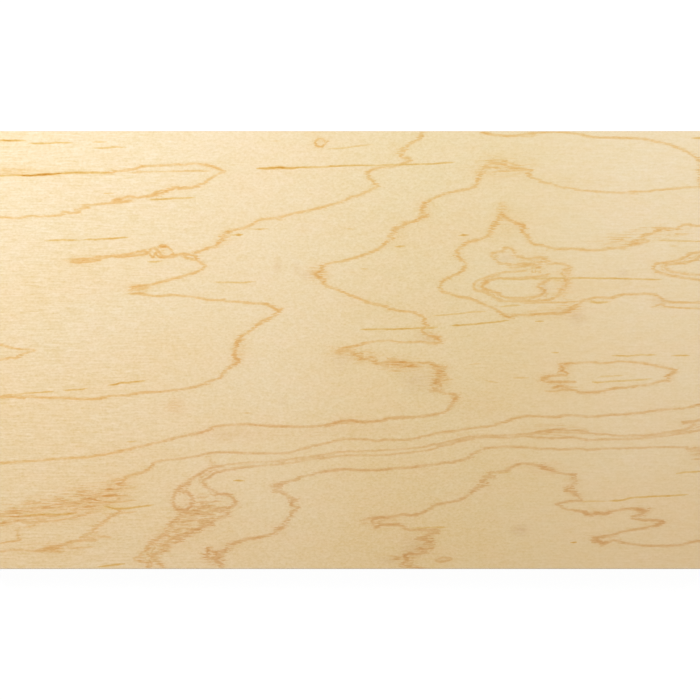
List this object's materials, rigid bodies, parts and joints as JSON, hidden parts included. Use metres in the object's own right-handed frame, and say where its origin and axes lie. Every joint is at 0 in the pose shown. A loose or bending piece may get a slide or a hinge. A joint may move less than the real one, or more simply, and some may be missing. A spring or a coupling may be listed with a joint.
{
  "type": "plywood sheet",
  "caption": "Flat rectangular plywood sheet with pale rotary-cut face veneers and ply bands showing on its sawn edges, to cut, screw or glue.",
  "frame": {"origin": "middle of the back face, which the sheet lies on", "axes": "+X along the sheet's length, with the grain of the face; +Y across the grain; +Z out of the face"},
  "size_m": [0.5, 0.3, 0.018],
  "materials": {
    "birch_plywood": "matte"
  },
  "bodies": {
    "root": {"plywood_sheet": "birch_plywood"}
  },
  "joints": []
}
